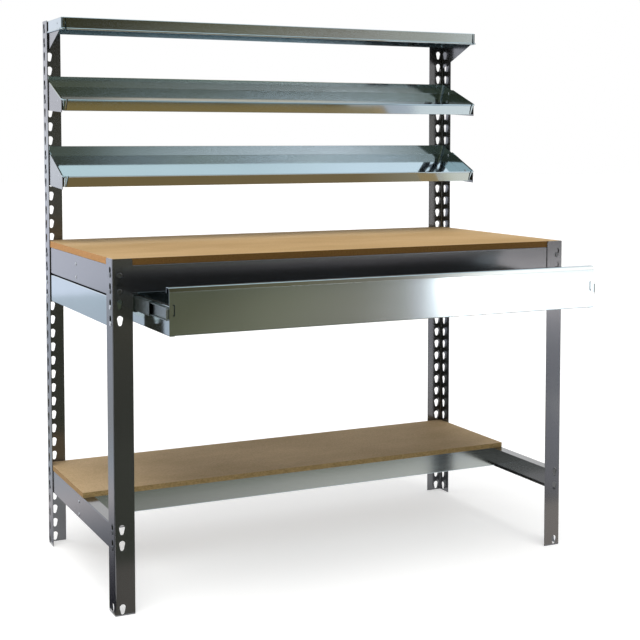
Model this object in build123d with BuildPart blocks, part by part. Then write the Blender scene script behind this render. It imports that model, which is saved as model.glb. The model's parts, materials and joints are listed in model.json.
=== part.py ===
"""Workbench with a pull-out drawer, a half-depth lower shelf and three parts trays on tall rear uprights.

The frame is folded sheet steel hung together with headed studs in keyholes.
X runs across the bench, Y from the front to the rear, Z up, and the floor is Z = 0.
"""
from build123d import *
from math import cos, pi, radians, sin, tan
import os

# Overall size
bench_width = 1270.0
bench_depth = 635.0
upright_height = 1440.0
front_leg_height = 844.0

# Posts and their keyholes
post_flange = 49.0
post_sheet = 2.0
post_bend = 3.0
hole_inset = 18.0
hole_pitch = 38.0
hole_height = 24.0
hole_head_radius = 7.8
hole_slot_radius = 5.2
hole_sides = 6
leg_top_hole = 43.0

# Headed studs that hang in the keyholes
stud_shank_radius = 4.0
stud_head_radius = 6.3
stud_head = 1.8
stud_sides = 8

# Folded rails and beams
rail_sheet = 1.5
rail_fit = 0.3
rail_flange = 30.0
rail_lip = 9.0

# Worktop
worktop_thickness = 16.0
worktop_rail_height = 71.0
worktop_beam_height = 66.0
stiffener_setback = 312.0
stiffener_height = 64.0
stiffener_flange = 26.0

# Lower shelf
shelf_row_number = 4
shelf_rail_drop = 5.0
shelf_rail_height = 62.0
shelf_thickness = 13.0
shelf_depth = 350.0
shelf_beam_setback = 305.0
shelf_beam_flange = 28.0
shelf_beam_drop = 58.0

# Rivets that hold the cross members
rivet_radius = 2.5
rivet_head_radius = 4.5
rivet_head = 1.6
rivet_hole_gap = 0.1
rivet_pitch = 33.0
rivet_tail_radius = 3.5
stiffener_rivet_drop = 6.0
shelf_rivet_drop = 4.0

# Drawer rails
drawer_rail_height = 73.7
drawer_rail_width = 48.0
drawer_rail_web = 44.7

# Drawer
drawer_reach = 220.0
drawer_closed_reach = 21.0
drawer_sheet = 1.2
drawer_bend = 2.0
drawer_front_overlap = 1.0
drawer_front_lift = 1.0
drawer_front_height = 107.0
drawer_front_crown = 10.0
drawer_front_lean = 2.0
drawer_front_return = 20.0
drawer_bottom_return = 14.0
drawer_side_drop = 49.7
drawer_side_height = 68.0
drawer_depth = 495.0
drawer_floor_flange = 12.0
drawer_front_flange = 6.0
drawer_hem = 8.0
drawer_gap = 0.3
pull_slot_height = 26.0
pull_slot_width = 4.0
pull_slot_line = 1.6
pull_slot_inset = 10.0
pull_slot_lift = 8.0

# Telescopic slides
slide_length = 500.0
slide_setback = 2.0
slide_thickness = 12.7
slide_sheet = 1.2
slide_drop = 18.0
slide_outer_height = 43.0
slide_middle_height = 35.0
slide_inner_height = 28.0
slide_outer_depth = 11.5
slide_middle_depth = 8.5
slide_middle_offset = 2.2
slide_inner_depth = 8.1
slide_travel = 480.0
cage_length = 180.0
cage_width = 5.0
cage_offset = 5.2
outer_cage_share = 0.25
inner_cage_share = 0.75

# Trays and brackets
tray_sheet = 1.2
tray_depth = 192.0
tray_lip = 28.0
tray_seam = 1.5
tray_gap = 0.3
top_tray_drop = 2.0
middle_tray_share = 0.73
middle_tray_tilt = 21.0
lower_tray_share = 0.4
lower_tray_tilt = 24.5
tray_lift = 64.0
bracket_depth = 183.0
bracket_front = 32.0
bracket_rise = 3.0
top_bracket_front = 24.0
top_bracket_heel = 35.8
tray_rear_rivet = 40.0
tray_front_rivet = 150.0

# Keyhole rows: the grid is set out from the top of the front leg and goes on up the rear upright
hole_flat = cos(pi / hole_sides)
first_hole = (front_leg_height - leg_top_hole) % hole_pitch
worktop_row = round((front_leg_height - leg_top_hole - first_hole) / hole_pitch)
upright_top_row = int((upright_height - hole_height - first_hole) / hole_pitch)
worktop_stud_rows = (worktop_row - 1, worktop_row)
drawer_rail_rows = (worktop_row - 3, worktop_row - 2)
shelf_stud_rows = (shelf_row_number, shelf_row_number + 1)
leg_rows = (0, *shelf_stud_rows, *drawer_rail_rows, *worktop_stud_rows)
top_tray_row = upright_top_row - 1
middle_tray_row = round(worktop_row + middle_tray_share * (top_tray_row - worktop_row))
lower_tray_row = round(worktop_row + lower_tray_share * (top_tray_row - worktop_row))

# Places worked out from the sizes above
left = -bench_width / 2
front = (drawer_reach - bench_depth - stud_head) / 2
back = front + bench_depth
rail_edge = post_sheet + rail_fit
beam_edge = rail_edge + rail_sheet + rail_fit
worktop_rail_top = front_leg_height - worktop_thickness
worktop_rail_bottom = worktop_rail_top - worktop_rail_height
shelf_rail_bottom = first_hole + shelf_row_number * hole_pitch - shelf_rail_drop
shelf_rail_top = shelf_rail_bottom + shelf_rail_height
drawer_rail_top = worktop_rail_bottom - rail_fit
slide_face = left + rail_edge + drawer_rail_width
slide_centre = drawer_rail_top - slide_drop
drawer_side_face = slide_face + slide_thickness
drawer_side_bottom = slide_centre - drawer_side_drop
drawer_front_bottom = drawer_side_bottom + drawer_front_lift
drawer_front_width = -2 * (drawer_side_face - drawer_front_overlap)
drawer_face = front - drawer_reach
drawer_travelled = drawer_reach - drawer_closed_reach
depth_middle = (front + back) / 2

os.makedirs("parts", exist_ok=True)


def save(piece, label):
    piece.part.label = label
    export_step(piece.part, f"parts/{label}.step")


def save_pair(piece, name):
    """Write the left-hand piece and its mirror image on the right."""
    save(piece, f"{name}_left")
    with BuildPart() as opposite:
        mirror(piece.part, about=Plane.YZ)
    save(opposite, f"{name}_right")


def folded_section(corners, sheet, bends=None):
    """Section of a folded sheet: the line of its outer face, thickened to its left."""
    with BuildLine() as face_line:
        if bends:
            FilletPolyline(*corners, radius=bends)
        else:
            Polyline(*corners)
    with BuildLine() as section_line:
        offset(face_line.line, amount=sheet, side=Side.LEFT)
    make_face(section_line.edges())


def stud_height(row):
    """Height at which a stud rests at the foot of its keyhole slot."""
    return first_hole + row * hole_pitch + hole_slot_radius * hole_flat


def add_studs(plane, points, reach):
    """Studs with their heads on the plane's side and their shanks running back from it."""
    with BuildSketch(plane) as heads:
        with Locations(*points):
            RegularPolygon(stud_head_radius, stud_sides, major_radius=False)
    extrude(heads.sketch, amount=stud_head)
    with BuildSketch(plane) as shanks:
        with Locations(*points):
            RegularPolygon(stud_shank_radius, stud_sides, major_radius=False)
    extrude(shanks.sketch, amount=-reach)


# Keyhole: a wide head that narrows to the slot below it, drawn from the foot of the slot
with BuildSketch() as keyhole:
    with Locations((0, hole_height - hole_head_radius * hole_flat)):
        RegularPolygon(hole_head_radius, hole_sides)
    with Locations((0, hole_slot_radius * hole_flat)):
        RegularPolygon(hole_slot_radius, hole_sides)
    make_hull()


def angle_post(height, rows, corner_y, inward):
    """Left-hand post: an angle with its bend at the outer corner and a row of keyholes in each flange."""
    align_y = Align.MIN if inward > 0 else Align.MAX
    heights = [first_hole + row * hole_pitch for row in rows]
    with BuildPart() as post:
        with BuildSketch():
            with Locations((left, corner_y)):
                Rectangle(post_flange, post_flange, align=(Align.MIN, align_y))
            with Locations((left + post_sheet, corner_y + inward * post_sheet)):
                Rectangle(post_flange, post_flange, align=(Align.MIN, align_y), mode=Mode.SUBTRACT)
        extrude(amount=height)
        bend_edge = post.edges().filter_by(Axis.Z).sort_by_distance((left, corner_y, height / 2))[0]
        fillet(bend_edge, radius=post_bend)
        with BuildSketch(Plane.XZ.offset(-corner_y)):
            with Locations(*[(left + hole_inset, foot) for foot in heights]):
                add(keyhole.sketch)
        extrude(amount=post_sheet * 2, both=True, mode=Mode.SUBTRACT)
        with BuildSketch(Plane.YZ.offset(left)):
            with Locations(*[(corner_y + inward * hole_inset, foot) for foot in heights]):
                add(keyhole.sketch)
        extrude(amount=post_sheet * 2, both=True, mode=Mode.SUBTRACT)
    return post


save_pair(angle_post(upright_height, range(upright_top_row + 1), back, -1), "rear_upright")
save_pair(angle_post(front_leg_height, leg_rows, front, 1), "front_leg")


def end_rail(bottom, height, cross_rivets):
    """Left-hand end rail: web outside, load flange on top, notched where the cross beams pass."""
    face = left + rail_edge
    top = bottom + height
    length = bench_depth - 2 * rail_edge
    with BuildPart() as rail:
        with BuildSketch(Plane.XZ.offset(-depth_middle)):
            corners = (
                (face + rail_flange, top),
                (face, top),
                (face, bottom),
                (face + rail_lip, bottom),
            )
            folded_section(corners, rail_sheet)
        extrude(amount=length / 2, both=True)
        notch = beam_edge - rail_edge
        with BuildSketch(Plane.XY.offset(bottom)):
            for corner_y, align_y in ((front + rail_edge, Align.MIN), (back - rail_edge, Align.MAX)):
                with Locations((face + rail_sheet, corner_y)):
                    Rectangle(rail_flange, notch, align=(Align.MIN, align_y))
        extrude(amount=height, mode=Mode.SUBTRACT)
        with BuildSketch(Plane.YZ.offset(face)):
            with Locations(*cross_rivets):
                RegularPolygon(rivet_radius + rivet_hole_gap, stud_sides, major_radius=False)
        extrude(amount=rail_sheet * 2, both=True, mode=Mode.SUBTRACT)
    return rail


def rivet_pair(setback, middle):
    """Two rivet centres, one above the other, on a line set back from the bench front."""
    return [(front + setback, middle - rivet_pitch / 2), (front + setback, middle + rivet_pitch / 2)]


stiffener_top = worktop_rail_top - rail_sheet - rail_fit
stiffener_bottom = stiffener_top - stiffener_height
stiffener_rivets = rivet_pair(stiffener_setback + stiffener_flange / 2,
                              (stiffener_top + stiffener_bottom) / 2 - stiffener_rivet_drop)
shelf_beam_top = shelf_rail_top - rail_sheet - rail_fit
shelf_beam_bottom = shelf_beam_top - shelf_beam_drop
shelf_rivets = rivet_pair(shelf_beam_setback + shelf_beam_flange / 2,
                          (shelf_beam_top + shelf_beam_bottom) / 2 - shelf_rivet_drop)

save_pair(end_rail(worktop_rail_bottom, worktop_rail_height, stiffener_rivets), "worktop_end_rail")
save_pair(end_rail(shelf_rail_bottom, shelf_rail_height, shelf_rivets), "shelf_end_rail")


def cross_beam(bottom, height, outer_y, inward):
    """Beam between two posts: web outside, load flange on top, flanges cut back past the end rails."""
    top = bottom + height
    length = bench_width - 2 * beam_edge
    corners = (
        (outer_y + inward * rail_flange, top),
        (outer_y, top),
        (outer_y, bottom),
        (outer_y + inward * rail_lip, bottom),
    )
    if inward < 0:
        corners = corners[::-1]
    with BuildPart() as beam:
        with BuildSketch(Plane.YZ):
            folded_section(corners, rail_sheet)
        extrude(amount=length / 2, both=True)
        cut_back = rail_edge + rail_flange + rail_fit - beam_edge
        with BuildSketch(Plane.XY.offset(bottom)):
            for end, align_x in ((-length / 2, Align.MIN), (length / 2, Align.MAX)):
                with Locations((end, outer_y + inward * (rail_sheet + rail_flange / 2))):
                    Rectangle(cut_back, rail_flange, align=(align_x, Align.CENTER))
        extrude(amount=height, mode=Mode.SUBTRACT)
    return beam


front_beam_face = front + rail_edge
rear_beam_face = back - rail_edge
worktop_beam_bottom = worktop_rail_top - worktop_beam_height
save(cross_beam(worktop_beam_bottom, worktop_beam_height, front_beam_face, 1), "worktop_front_beam")
save(cross_beam(worktop_beam_bottom, worktop_beam_height, rear_beam_face, -1), "worktop_rear_beam")
save(cross_beam(shelf_rail_bottom, shelf_rail_height, rear_beam_face, -1), "shelf_rear_beam")


def channel_member(web_y, bottom, top, flange, rivets):
    """Channel across the bench with a riveted end plate at each end rail."""
    length = bench_width - 2 * beam_edge
    with BuildPart() as member:
        with BuildSketch(Plane.YZ):
            corners = (
                (web_y + flange, top),
                (web_y, top),
                (web_y, bottom),
                (web_y + flange, bottom),
            )
            folded_section(corners, rail_sheet)
        extrude(amount=length / 2, both=True)
        for end, inward in ((-length / 2, 1), (length / 2, -1)):
            with BuildSketch(Plane.YZ.offset(end)):
                with Locations((web_y, (top + bottom) / 2)):
                    Rectangle(flange, top - bottom, align=(Align.MIN, Align.CENTER))
            extrude(amount=inward * rail_sheet)
        with BuildSketch(Plane.YZ):
            with Locations(*rivets):
                RegularPolygon(rivet_radius + rivet_hole_gap, stud_sides, major_radius=False)
        extrude(amount=length, both=True, mode=Mode.SUBTRACT)
    return member


stiffener = channel_member(front + stiffener_setback, stiffener_bottom, stiffener_top, stiffener_flange,
                           stiffener_rivets)
save(stiffener, "worktop_stiffener")
shelf_beam = channel_member(front + shelf_beam_setback, shelf_beam_bottom, shelf_beam_top, shelf_beam_flange,
                            shelf_rivets)
save(shelf_beam, "shelf_front_beam")

# Rivets through the end rails into the cross members
with BuildPart() as cross_rivets:
    rivet_reach = beam_edge - rail_edge + rail_sheet
    for side in (-1, 1):
        for x, radius, amount in (
            (bench_width / 2 - rail_edge, rivet_head_radius, rivet_head),
            (bench_width / 2 - rail_edge, rivet_radius, -rivet_reach),
            (bench_width / 2 - rail_edge - rivet_reach, rivet_tail_radius, -rivet_head),
        ):
            with BuildSketch(Plane.YZ.offset(side * x)):
                with Locations(*stiffener_rivets, *shelf_rivets):
                    RegularPolygon(radius, stud_sides, major_radius=False)
            extrude(amount=side * amount)
save(cross_rivets, "cross_member_rivets")

# Boards
with BuildPart() as worktop_board:
    with BuildSketch(Plane.XY.offset(worktop_rail_top)):
        with Locations((0, depth_middle)):
            Rectangle(bench_width - 2 * rail_edge, bench_depth - 2 * rail_edge)
    extrude(amount=worktop_thickness)
save(worktop_board, "worktop_board")

with BuildPart() as lower_shelf_board:
    with BuildSketch(Plane.XY.offset(shelf_rail_top)):
        with Locations((0, back - rail_edge)):
            Rectangle(bench_width - 2 * rail_edge, shelf_depth, align=(Align.CENTER, Align.MAX))
    extrude(amount=shelf_thickness)
save(lower_shelf_board, "lower_shelf_board")

# Drawer rail: an inverted channel whose inner web carries the slide
with BuildPart() as drawer_rail:
    with BuildSketch(Plane.XZ.offset(-depth_middle)):
        outer_face = left + rail_edge
        corners = (
            (slide_face, drawer_rail_top - drawer_rail_web),
            (slide_face, drawer_rail_top),
            (outer_face, drawer_rail_top),
            (outer_face, drawer_rail_top - drawer_rail_height),
        )
        folded_section(corners, rail_sheet)
    extrude(amount=bench_depth / 2 - beam_edge, both=True)
save_pair(drawer_rail, "drawer_rail")

# Studs of the painted frame: end rails on the side flanges, beams on the front and rear flanges
stud_columns = (front + hole_inset, back - hole_inset)


def side_studs(rows, columns, reach=rail_edge):
    """Studs in the side flanges of both pairs of posts."""
    points = [(column, stud_height(row)) for column in columns for row in rows]
    for side in (-1, 1):
        plane = Plane(origin=(side * bench_width / 2, 0, 0), x_dir=(0, 1, 0), z_dir=(side, 0, 0))
        signed = [(y, side * z) for y, z in points]
        add_studs(plane, signed, reach)


with BuildPart() as frame_studs:
    side_studs(worktop_stud_rows, stud_columns)
    side_studs(shelf_stud_rows, stud_columns)
    edge_x = bench_width / 2 - hole_inset
    front_points = [(x, stud_height(row)) for x in (-edge_x, edge_x) for row in worktop_stud_rows]
    add_studs(Plane.XZ.offset(-front), front_points, rail_edge)
    rear_rows = worktop_stud_rows + shelf_stud_rows
    rear_points = [(x, -stud_height(row)) for x in (-edge_x, edge_x) for row in rear_rows]
    add_studs(Plane(origin=(0, back, 0), x_dir=(1, 0, 0), z_dir=(0, 1, 0)), rear_points, rail_edge)
save(frame_studs, "frame_studs")

with BuildPart() as drawer_rail_studs:
    side_studs(drawer_rail_rows, stud_columns)
save(drawer_rail_studs, "drawer_rail_studs")

# Drawer front: folded pan that leans back along its top edge, with a bracket-shaped slot near each end
with BuildPart() as drawer_front:
    face_top = drawer_front_bottom + drawer_front_height
    with BuildSketch(Plane.YZ):
        corners = (
            (drawer_face + drawer_front_return, face_top - drawer_hem - drawer_front_crown / 2),
            (drawer_face + drawer_front_return, face_top),
            (drawer_face + drawer_front_lean, face_top),
            (drawer_face, face_top - drawer_front_crown),
            (drawer_face, drawer_front_bottom),
            (drawer_face + drawer_bottom_return, drawer_front_bottom),
        )
        folded_section(corners, drawer_sheet, drawer_bend)
    extrude(amount=drawer_front_width / 2, both=True)
    return_width = drawer_front_width - 2 * (drawer_floor_flange + drawer_bend)
    with BuildSketch(Plane.XZ.offset(-drawer_face - drawer_sheet)):
        for side, align_x in ((-1, Align.MIN), (1, Align.MAX)):
            with Locations((side * drawer_front_width / 2, drawer_front_bottom)):
                Rectangle((drawer_front_width - return_width) / 2, drawer_side_height,
                          align=(align_x, Align.MIN))
    extrude(amount=-drawer_bottom_return, mode=Mode.SUBTRACT)
    with BuildSketch(Plane.XZ.offset(-drawer_face)):
        for side in (-1, 1):
            slot_x = side * (drawer_front_width / 2 - pull_slot_inset)
            with Locations((slot_x, slide_centre + pull_slot_lift)):
                Rectangle(pull_slot_width, pull_slot_height)
            with Locations((slot_x + side * pull_slot_line, slide_centre + pull_slot_lift)):
                Rectangle(pull_slot_width, pull_slot_height - 2 * pull_slot_line, mode=Mode.SUBTRACT)
    extrude(amount=drawer_sheet * 2, both=True, mode=Mode.SUBTRACT)
save(drawer_front, "drawer_front")

# Drawer sides: floor flange at the foot, hem at the top and a mounting flange behind the front
drawer_inner_front = drawer_face + drawer_sheet + drawer_gap
drawer_rear = drawer_inner_front + drawer_depth
drawer_side_top = drawer_side_bottom + drawer_side_height
with BuildPart() as drawer_side:
    with BuildSketch(Plane.XZ.offset(-drawer_inner_front)):
        corners = (
            (drawer_side_face + drawer_hem, drawer_side_top),
            (drawer_side_face, drawer_side_top),
            (drawer_side_face, drawer_side_bottom),
            (drawer_side_face + drawer_floor_flange, drawer_side_bottom),
        )
        folded_section(corners, drawer_sheet)
    extrude(amount=-drawer_depth)
    with BuildSketch(Plane.XZ.offset(-drawer_inner_front)):
        with Locations((drawer_side_face + drawer_sheet, drawer_side_bottom + drawer_sheet)):
            Rectangle(drawer_front_flange - drawer_sheet, drawer_side_height - 2 * drawer_sheet,
                      align=(Align.MIN, Align.MIN))
    extrude(amount=-drawer_sheet)
save_pair(drawer_side, "drawer_side")

drawer_inner_width = -2 * (drawer_side_face + drawer_sheet + drawer_gap)
floor_level = drawer_side_bottom + drawer_sheet + drawer_gap
with BuildPart() as drawer_bottom:
    with BuildSketch(Plane.XY.offset(floor_level)):
        with Locations((0, drawer_rear - drawer_sheet - drawer_gap)):
            Rectangle(drawer_inner_width, drawer_depth - drawer_bottom_return - drawer_sheet,
                      align=(Align.CENTER, Align.MAX))
    extrude(amount=drawer_sheet)
save(drawer_bottom, "drawer_bottom")

with BuildPart() as drawer_back:
    with BuildSketch(Plane.YZ):
        back_top = drawer_side_top - drawer_sheet - drawer_gap
        corners = (
            (drawer_rear, floor_level),
            (drawer_rear, back_top),
            (drawer_rear - drawer_floor_flange, back_top),
        )
        folded_section(corners, drawer_sheet)
    extrude(amount=drawer_inner_width / 2, both=True)
save(drawer_back, "drawer_back")


def slide_member(start_x, depth, height, opening, front_y):
    """Left-hand slide channel: web at start_x, flanges reaching towards the opening side."""
    end_x = start_x + opening * depth
    top = slide_centre + height / 2
    bottom = slide_centre - height / 2
    corners = ((end_x, top), (start_x, top), (start_x, bottom), (end_x, bottom))
    if opening < 0:
        corners = corners[::-1]
    with BuildPart() as member:
        with BuildSketch(Plane.XZ.offset(-front_y)):
            folded_section(corners, slide_sheet)
        extrude(amount=-slide_length)
    return member


def ball_cage(outer_height, inner_height, closed_middle, share):
    """Strips of a ball cage above and below the inner of two slide members, at the drawer's rest."""
    outer_half = outer_height / 2 - slide_sheet - drawer_gap
    inner_half = inner_height / 2 + drawer_gap
    middle_y = closed_middle - share * drawer_travelled
    with BuildPart() as cage:
        with BuildSketch(Plane.XZ.offset(-middle_y)):
            for sign in (-1, 1):
                strip_middle = slide_centre + sign * (outer_half + inner_half) / 2
                with Locations((slide_face + cage_offset, strip_middle)):
                    Rectangle(cage_width, outer_half - inner_half, align=(Align.MIN, Align.CENTER))
        extrude(amount=cage_length / 2, both=True)
    return cage


outer_start = front + slide_setback
inner_start = drawer_inner_front + drawer_sheet + drawer_gap
inner_start_closed = inner_start + drawer_travelled
middle_start_closed = (outer_start + inner_start_closed) / 2
middle_start = middle_start_closed - drawer_travelled / 2
middle_face = slide_face + slide_middle_offset
slide_outer = slide_member(slide_face, slide_outer_depth, slide_outer_height, 1, outer_start)
save_pair(slide_outer, "slide_outer")
slide_middle = slide_member(middle_face, slide_middle_depth, slide_middle_height, 1, middle_start)
save_pair(slide_middle, "slide_middle")
slide_inner = slide_member(drawer_side_face, slide_inner_depth, slide_inner_height, -1, inner_start)
save_pair(slide_inner, "slide_inner")

# Each cage sits midway along the overlap of its two members when the drawer is fully open
open_middle_rear = middle_start_closed + slide_length - slide_travel / 2
outer_cage_closed = (outer_start + open_middle_rear) / 2 + slide_travel * outer_cage_share
open_inner_rear = inner_start_closed + slide_length - slide_travel
open_middle_front = middle_start_closed - slide_travel / 2
inner_cage_closed = (open_middle_front + open_inner_rear) / 2 + slide_travel * inner_cage_share
outer_cage = ball_cage(slide_outer_height, slide_middle_height, outer_cage_closed, outer_cage_share)
save_pair(outer_cage, "outer_ball_cage")
inner_cage = ball_cage(slide_middle_height, slide_inner_height, inner_cage_closed, inner_cage_share)
save_pair(inner_cage, "inner_ball_cage")

# Trays and the brackets that hang them
tray_edge = rail_edge + rail_sheet + tray_gap
top_bracket_edge = rail_edge + tray_sheet + tray_gap
tray_back = back - rail_edge
tray_length = bench_width - 2 * tray_edge
top_tray_length = bench_width - 2 * rail_edge
bracket_nose = tray_back - bracket_depth


def rim_height(row, tilt, y):
    """Height of a tilted tray's rim line at the depth y."""
    return stud_height(row) + tray_lift + (y - (back - hole_inset)) * tan(radians(tilt))


def tilted_plane(row, tilt):
    """Plane of a tilted tray's underside, with its origin at the rear edge."""
    angle = radians(tilt)
    rim_y = tray_back - tray_lip * sin(angle)
    origin = (0, tray_back, rim_height(row, tilt, rim_y) - tray_lip * cos(angle))
    return Plane(origin=origin, x_dir=(1, 0, 0), z_dir=(0, -sin(angle), cos(angle)))


def folded_tray(plane, forward, length):
    """Shallow folded tray with open corner seams, open on the plane's upper side."""
    seam_middle = tray_sheet + tray_seam / 2
    with BuildPart() as tray:
        with BuildSketch(plane):
            with Locations((0, forward * tray_depth / 2)):
                Rectangle(length, tray_depth)
        extrude(amount=tray_lip)
        with BuildSketch(plane.offset(tray_sheet)):
            with Locations((0, forward * tray_depth / 2)):
                Rectangle(length - 2 * tray_sheet, tray_depth - 2 * tray_sheet)
            for end in (-length / 2, length / 2):
                with Locations((end, forward * seam_middle), (end, forward * (tray_depth - seam_middle))):
                    Rectangle(2 * tray_sheet, tray_seam)
        extrude(amount=tray_lip, mode=Mode.SUBTRACT)
        with BuildSketch(Plane.YZ):
            with Locations(*tray_rivet_points(plane, forward)):
                RegularPolygon(rivet_radius + rivet_hole_gap, stud_sides, major_radius=False)
        extrude(amount=bench_width, both=True, mode=Mode.SUBTRACT)
    return tray


def tray_rivet_points(plane, forward):
    """Rivet centres on a tray's end lips, as Y and Z."""
    places = [plane.from_local_coords((0, forward * place, tray_lip / 2))
              for place in (tray_rear_rivet, tray_front_rivet)]
    return [(place.Y, place.Z) for place in places]


def tray_bracket(corners, rivets, edge):
    """Left-hand bracket plate on the inner side of the rear upright."""
    with BuildPart() as bracket:
        with BuildSketch(Plane.YZ.offset(left + edge)):
            with BuildLine():
                Polyline(*corners, close=True)
            make_face()
            with Locations(*rivets):
                RegularPolygon(rivet_radius + rivet_hole_gap, stud_sides, major_radius=False,
                               mode=Mode.SUBTRACT)
        extrude(amount=rail_sheet)
    return bracket


def tilted_bracket_corners(row, tilt):
    """Outline of a bracket whose upper edge follows a tilted tray's rim."""
    nose_top = rim_height(row, tilt, bracket_nose)
    nose_bottom = nose_top - bracket_front
    heel_bottom = nose_bottom + bracket_depth * tan(radians(bracket_rise))
    heel_top = rim_height(row, tilt, tray_back)
    return ((bracket_nose, nose_bottom), (tray_back, heel_bottom), (tray_back, heel_top),
            (bracket_nose, nose_top))


top_tray_height = upright_height - top_tray_drop
top_plane = Plane(origin=(0, tray_back, top_tray_height), x_dir=(1, 0, 0), z_dir=(0, 0, -1))
middle_plane = tilted_plane(middle_tray_row, middle_tray_tilt)
lower_plane = tilted_plane(lower_tray_row, lower_tray_tilt)
top_bracket_top = top_tray_height - tray_sheet - tray_gap
top_bracket_back = tray_back - tray_sheet - tray_gap
top_bracket_corners = (
    (bracket_nose, top_bracket_top),
    (bracket_nose, top_bracket_top - top_bracket_front),
    (top_bracket_back, stud_height(top_tray_row) - top_bracket_heel),
    (top_bracket_back, top_bracket_top),
)
tray_set = (
    ("middle_tray", middle_plane, -1, tilted_bracket_corners(middle_tray_row, middle_tray_tilt)),
    ("lower_tray", lower_plane, -1, tilted_bracket_corners(lower_tray_row, lower_tray_tilt)),
)
for name, plane, forward, corners in tray_set:
    save(folded_tray(plane, forward, tray_length), name)
    save_pair(tray_bracket(corners, tray_rivet_points(plane, forward), rail_edge), f"{name}_bracket")

# The inverted top tray laps over the outside of its brackets, with a hole in each end lip for the upper stud
top_rivets = tray_rivet_points(top_plane, 1)
with BuildPart() as top_tray:
    add(folded_tray(top_plane, 1, top_tray_length).part)
    with BuildSketch(Plane.YZ):
        with Locations((back - hole_inset, stud_height(top_tray_row + 1))):
            RegularPolygon(stud_shank_radius + rivet_hole_gap, stud_sides, major_radius=False)
    extrude(amount=bench_width, both=True, mode=Mode.SUBTRACT)
save(top_tray, "top_tray")
save_pair(tray_bracket(top_bracket_corners, top_rivets, top_bracket_edge), "top_tray_bracket")

with BuildPart() as bracket_studs:
    side_studs((top_tray_row, top_tray_row + 1), stud_columns[1:], top_bracket_edge)
    for row in (middle_tray_row, lower_tray_row):
        side_studs((row, row + 1), stud_columns[1:])
save(bracket_studs, "bracket_studs")

with BuildPart() as tray_rivets:
    rivet_points = top_rivets + [point for name, plane, forward, corners in tray_set for point in
                                 tray_rivet_points(plane, forward)]
    lip_face = bench_width / 2 - tray_edge - tray_sheet
    lip_reach = tray_edge + tray_sheet - rail_edge
    for side in (-1, 1):
        for radius, amount in ((rivet_head_radius, -rivet_head), (rivet_radius, lip_reach)):
            with BuildSketch(Plane.YZ.offset(side * lip_face)):
                with Locations(*rivet_points):
                    RegularPolygon(radius, stud_sides, major_radius=False)
            extrude(amount=side * amount)
save(tray_rivets, "tray_rivets")
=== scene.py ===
import bpy
import bmesh
import json
import math
from mathutils import Matrix, Vector


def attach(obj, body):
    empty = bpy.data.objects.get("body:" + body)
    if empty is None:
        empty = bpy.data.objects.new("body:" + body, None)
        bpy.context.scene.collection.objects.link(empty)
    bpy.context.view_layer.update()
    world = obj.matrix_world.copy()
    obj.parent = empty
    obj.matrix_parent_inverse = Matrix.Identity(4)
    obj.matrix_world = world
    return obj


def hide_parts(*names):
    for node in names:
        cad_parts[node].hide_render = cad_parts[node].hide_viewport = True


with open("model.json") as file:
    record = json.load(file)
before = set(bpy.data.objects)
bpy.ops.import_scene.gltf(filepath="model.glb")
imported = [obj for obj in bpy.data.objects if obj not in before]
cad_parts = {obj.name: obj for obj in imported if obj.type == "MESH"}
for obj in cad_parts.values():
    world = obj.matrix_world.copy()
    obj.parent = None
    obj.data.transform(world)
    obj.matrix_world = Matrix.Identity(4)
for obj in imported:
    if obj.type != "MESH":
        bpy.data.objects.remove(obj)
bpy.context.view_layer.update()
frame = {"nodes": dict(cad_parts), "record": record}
print("bench frame loaded:", len(frame["nodes"]), "nodes")

cameraSetup = {
    "place": (-1.4998, -3.1056, 1.1211),
    "turn": 25.769,      # degrees from straight ahead, towards the right-hand end
    "tip": 3.463,        # degrees below level
    "lens": 72.924,
    "sensor": 36,
    "shift": -0.16,
}


def addObject(name, data):
    made = bpy.data.objects.new(name, data)
    bpy.context.scene.collection.objects.link(made)
    return made


def addCamera(setup):
    data = bpy.data.cameras.new("benchCamera")
    data.lens = setup["lens"]
    data.sensor_width = setup["sensor"]
    data.shift_y = setup["shift"]
    camera = addObject("benchCamera", data)
    camera.location = setup["place"]
    camera.rotation_euler = (math.radians(90 - setup["tip"]), 0, math.radians(-setup["turn"]))
    bpy.context.scene.camera = camera


addCamera(cameraSetup)
bpy.context.scene.view_settings.view_transform = "Standard"
print("camera placed")


def startMaterial(name):
    material = bpy.data.materials.new(name)
    material.use_nodes = True
    tree = material.node_tree
    surface = tree.nodes["Principled BSDF"]
    place = tree.nodes.new("ShaderNodeTexCoord")
    return material, tree, surface, place.outputs["Object"]


def setInputs(node, values):
    for name, value in values.items():
        node.inputs[name].default_value = value


def stretched(tree, place, scale):
    mapping = tree.nodes.new("ShaderNodeMapping")
    setInputs(mapping, {"Scale": scale})
    tree.links.new(place, mapping.inputs["Vector"])
    return mapping.outputs["Vector"]


def noise(tree, place, scale, detail=4.0, roughness=0.55):
    node = tree.nodes.new("ShaderNodeTexNoise")
    setInputs(node, {"Scale": scale, "Detail": detail, "Roughness": roughness})
    tree.links.new(place, node.inputs["Vector"])
    return node.outputs["Fac"]


def ramp(tree, value, stops):
    node = tree.nodes.new("ShaderNodeValToRGB")
    bar = node.color_ramp
    while len(bar.elements) < len(stops):
        bar.elements.new(0.5)
    for element, (at, colour) in zip(bar.elements, stops):
        element.position = at
        element.color = (*colour, 1)
    tree.links.new(value, node.inputs["Fac"])
    return node.outputs["Color"]


def between(tree, value, low, high, fromLow=0.0, fromHigh=1.0):
    node = tree.nodes.new("ShaderNodeMapRange")
    setInputs(node, {"From Min": fromLow, "From Max": fromHigh, "To Min": low, "To Max": high})
    tree.links.new(value, node.inputs["Value"])
    return node.outputs["Result"]


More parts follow.
